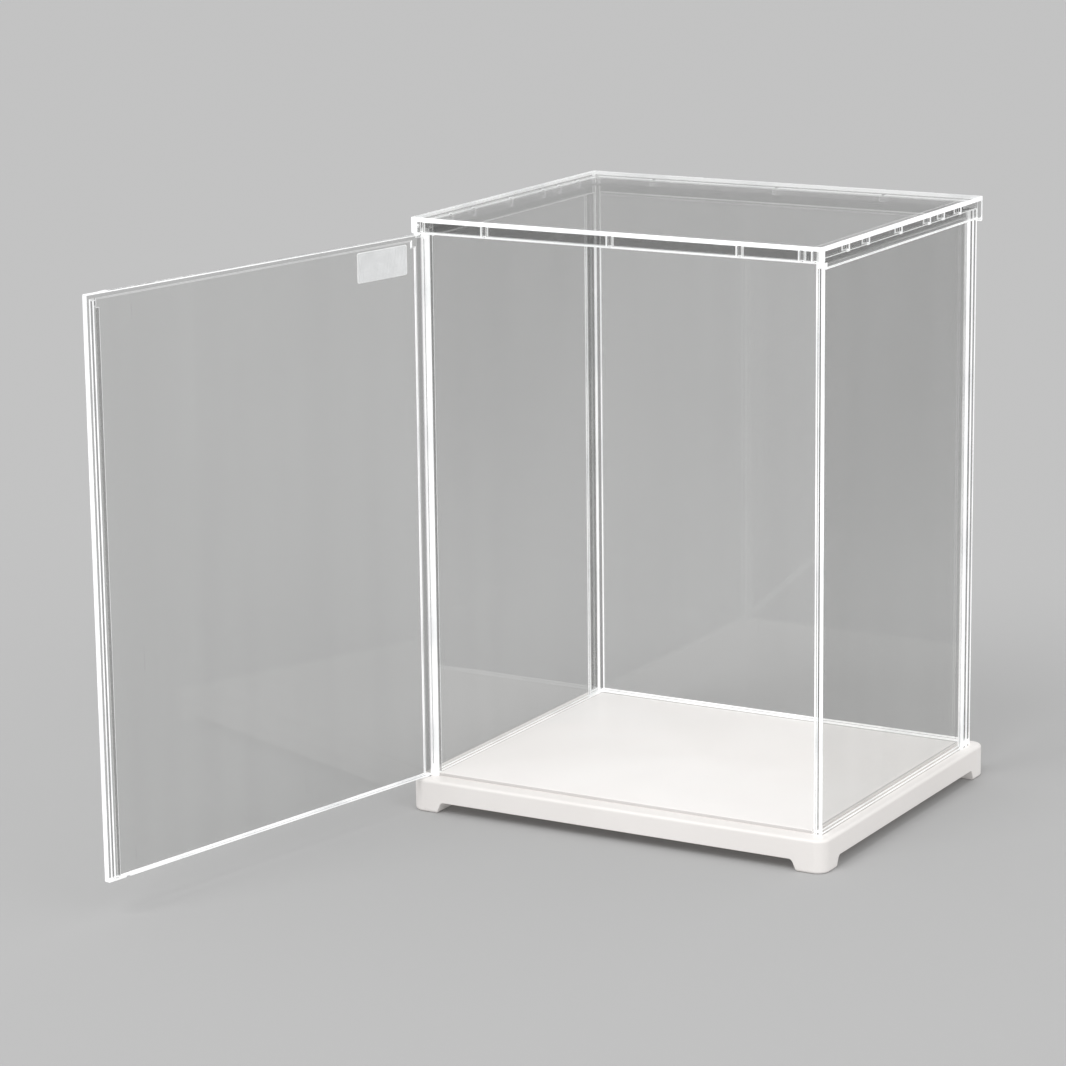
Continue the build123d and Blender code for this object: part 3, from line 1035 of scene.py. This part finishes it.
@dataclass
class Plinth(SubAssembly):
    """The white base and the display floor in it.

    Attributes:
        border: How wide the painted shade along the floor's top border is, along X and along Y.
    """

    edge_width: float = 0.3 * MM
    border: tuple[float, float] = (0.7 * MM, 1.8 * MM)

    def build(self) -> None:
        """Dresses the base and the display floor, which has painted shade on its sides, its front and
        along its border.
        """
        self.dress("base", Slot.WHITE, WhitePlastic())
        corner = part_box("display_floor")[1]
        whites = {"colour": (0.94, 0.917, 0.90), "shade_colour": (0.90, 0.872, 0.85)}
        # painted shade on the floor's upright faces, darker on its front
        painted_shade_tones = {"shaded_side_tone": 0.86, "shaded_front_tone": 0.77}
        # painted shade along the floor's top border
        shaded_border_from = (corner.x - self.border[0], corner.y - self.border[1])
        floor = WhitePlastic(shaded_border_from=shaded_border_from, **whites, **painted_shade_tones)
        self.dress("display_floor", Slot.WHITE, floor)


@dataclass
class ClearShell(SubAssembly):
    """The three fixed clear panels and the lid.

    Attributes:
        jamb_edge: How wide the side panels' softened edges are, so that their grooves stay open.
        channel_depth: How far behind the foremost one a front end of the back panel's channels has the
            painted highlight.
        foot_line: How far above the base the painted highlight line along the panels' foot starts and
            ends.
    """

    jamb_edge: float = 0.35 * MM
    channel_depth: float = 5.0 * MM
    foot_line: tuple[float, float] = (0.3 * MM, 1.0 * MM)

    def build(self) -> None:
        """Dresses the panels and the lid."""
        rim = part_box("base")[1].z
        jamb = {"lit_normal": FORWARD, "foot": (rim + self.foot_line[0], rim + self.foot_line[1])}
        # the shares below set each panel's painted reflection; front edges and foot lines get painted
        # highlights
        left = self.sheet("left_panel", veil_low=0.06, veil_high=0.15, **jamb)
        self.dress("left_panel", Slot.CLEAR, left, LitEdge(), width=self.jamb_edge)
        right = self.sheet("right_panel", veil_low=0.04, veil_high=0.17, **jamb)
        self.dress("right_panel", Slot.CLEAR, right, LitEdge(), width=self.jamb_edge)
        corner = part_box("back_panel")[1]
        channel = {"lit_depth": self.channel_depth, "outer_x": corner.x, "back_y": corner.y}
        back = self.sheet("back_panel", ClearBack, veil_low=0.05, veil_high=0.12, **jamb, **channel)
        self.dress("back_panel", Slot.CLEAR, back, LitEdge())
        half = (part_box("lid")[1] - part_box("lid")[0]) / 2
        reach = {"half_width": half.x, "half_depth": half.y}
        lid = self.sheet("lid", ClearLid, veil_low=0.20, veil_high=0.20, **reach)
        self.dress("lid", Slot.CLEAR, lid, LitEdge())


@dataclass
class Door(SubAssembly):
    """The clear door and its blank nameplate."""

    edge_width: float = 0.4 * MM

    def build(self) -> None:
        """Dresses the door and the nameplate."""
        low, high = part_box("door_panel")
        hinge = Vector(next(joint["pos_m"] for joint in frame["joints"] if joint["child"] == "door"))
        along = Vector((0.0, 0.0, 1.0)).cross(Vector(self.sheet("door_panel").sheet_normal))
        along *= math.copysign(1.0, along.dot((low + high) / 2 - hinge))
        level = [face for face in frame["nodes"]["door_panel"].data.polygons if abs(face.normal.z) > ALIKE]
        lowest = max((face for face in level if face.normal.z < 0.0), key=lambda face: face.area)
        highest = max((face for face in level if face.normal.z > 0.0), key=lambda face: face.area)
        ends = {"bottom_z": lowest.center.z, "top_z": highest.center.z}
        # the shares below set the door's painted reflection; its free edge, top and bottom get painted
        # highlights
        finish = {"veil_low": 0.06, "veil_high": 0.08, "gloss": (0.02, 0.75), "lit_normal": tuple(along)}
        door = self.sheet("door_panel", ClearDoor, **finish, **ends)
        faint = (door.bottom_z + door.bottom_band, door.top_z - door.top_band)
        self.dress("door_panel", Slot.CLEAR, door, LitEdge(faint_between=faint))
        self.dress("door_nameplate", Slot.FROSTED, FrostedPlate(), LitEdge())


@dataclass(frozen=True)
class Lamp:
    """A broad soft lamp, far enough away to light everything alike."""

    name: str
    strength: float
    towards: tuple[float, float, float]
    spread: float = math.radians(34.0)

    def hang(self) -> None:
        """Adds the lamp to the scene."""
        data = bpy.data.lights.new(self.name, "SUN")
        data.energy = self.strength
        data.angle = self.spread
        lamp = bpy.data.objects.new(self.name, data)
        lamp.rotation_euler = Vector(self.towards).to_track_quat("Z", "Y").to_euler()
        bpy.context.scene.collection.objects.link(lamp)


@dataclass
class Studio:
    """A plain pale floor, plain soft light and the camera.

    Attributes:
        floor_half: Half the floor's width, in metres.
        floor: The floor's finish.
        sky: How strongly the surroundings light the object.
        seen_sky: How bright they look to the camera and in a reflection.
        lamps: The lamps.
        camera_at: Where the camera is.
        azimuth: How far round to the right of the front it is.
        elevation: How far up it is.
        roll: How far it is turned about its own view.
        lens: Its focal length, in millimetres.
        sensor: Its sensor's width, in millimetres.
        clear_layers: How many clear layers a ray can pass.
    """

    floor_half: float = 20.0
    floor: StudioFloor = StudioFloor()
    sky: float = 0.80
    seen_sky: float = 0.545
    lamps: tuple[Lamp, ...] = (
        Lamp("key", 1.10, (-0.15, -1.0, 1.25)),
        Lamp("fill", 0.45, (1.2, -0.35, 0.9)),
    )
    camera_at: tuple[float, float, float] = (0.7892, -1.5187, 0.5061)
    azimuth: float = math.radians(30.026)
    elevation: float = math.radians(13.136)
    roll: float = math.radians(-0.714)
    lens: float = 129.99
    sensor: float = 36.0
    clear_layers: int = 48

    def build_floor(self) -> None:
        """Lays the floor under the feet."""
        half = self.floor_half
        mesh = bpy.data.meshes.new("studio_floor")
        corners = [(x * half, y * half, GROUND_Z) for x, y in ((-1, -1), (1, -1), (1, 1), (-1, 1))]
        mesh.from_pydata(corners, [], [(0, 1, 2, 3)])
        mesh.materials.append(self.floor.material("studio_floor"))
        ground = bpy.data.objects.new("studio_floor", mesh)
        bpy.context.scene.collection.objects.link(ground)

    def light(self) -> None:
        """Sets the soft surrounding light and hangs the lamps."""
        world = bpy.data.worlds.new("studio")
        world.use_nodes = True
        graph = Graph(world.node_tree)
        seen = graph.node("ShaderNodeLightPath", output="Is Camera Ray")
        for kind in ("Is Glossy Ray", "Is Transmission Ray"):
            seen = seen.largest(graph.node("ShaderNodeLightPath", output=kind))
        strength = seen.step(0.0, 1.0, (self.sky, self.seen_sky), Blend.STRAIGHT)
        graph.finish(graph.node("ShaderNodeBackground", {"Color": WHITE_LIGHT, "Strength": strength}))
        bpy.context.scene.world = world
        for lamp in self.lamps:
            lamp.hang()

    def place_camera(self) -> None:
        """Puts the camera where the photograph was taken from."""
        sin_a, cos_a = math.sin(self.azimuth), math.cos(self.azimuth)
        sin_e, cos_e = math.sin(self.elevation), math.cos(self.elevation)
        back = Vector((sin_a * cos_e, -cos_a * cos_e, sin_e))
        right = Vector((cos_a, sin_a, 0.0))
        turn = Matrix((right, back.cross(right), back)).transposed() @ Matrix.Rotation(self.roll, 3, "Z")
        data = bpy.data.cameras.new("camera")
        data.lens = self.lens
        data.sensor_width = self.sensor
        camera = bpy.data.objects.new("camera", data)
        camera.matrix_world = Matrix.Translation(self.camera_at) @ turn.to_4x4()
        bpy.context.scene.collection.objects.link(camera)
        bpy.context.scene.camera = camera

    def build(self) -> None:
        """Builds the floor, the light and the camera."""
        self.build_floor()
        self.light()
        self.place_camera()
        scene = bpy.context.scene
        scene.view_settings.view_transform = "Standard"
        scene.cycles.transparent_max_bounces = self.clear_layers
        LOG.info("studio: floor at %.4f m", GROUND_Z)


def main() -> None:
    """Builds every sub-assembly and the studio."""
    logging.basicConfig(level=logging.INFO, format="%(name)s: %(message)s")
    for assembly in (Plinth(), ClearShell(), Door(), Studio()):
        LOG.info("building %s", type(assembly).__name__)
        assembly.build()


if __name__ == "__main__":
    main()
